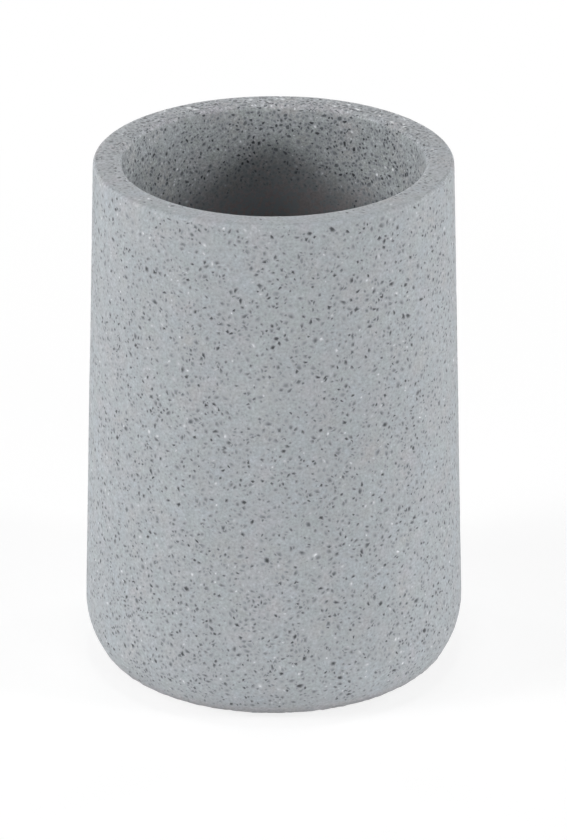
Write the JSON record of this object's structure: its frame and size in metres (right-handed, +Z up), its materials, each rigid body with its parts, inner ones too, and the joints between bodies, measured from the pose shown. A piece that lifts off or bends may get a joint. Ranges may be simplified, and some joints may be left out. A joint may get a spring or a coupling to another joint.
{
  "type": "bathroom tumbler",
  "caption": "Thick-walled grey mineral-cast bathroom tumbler with fine dark grit, tapered wall, rounded belly, flat lip and a foam pad set in its base",
  "frame": {"origin": "centre of the foam pad's underside, on the surface that the tumbler stands on", "axes": "+Z up along the tumbler's axis; the tumbler is round, so X and Y are any two level directions, and the picture looks along +Y"},
  "size_m": [0.0794, 0.0794, 0.1105],
  "materials": {
    "mineral_casting": "matte",
    "foam_pad": "matte",
    "adhesive_film": "satin"
  },
  "bodies": {
    "root": {"tumbler_body": "mineral_casting", "base_pad": "foam_pad", "pad_adhesive": "adhesive_film"}
  },
  "joints": []
}
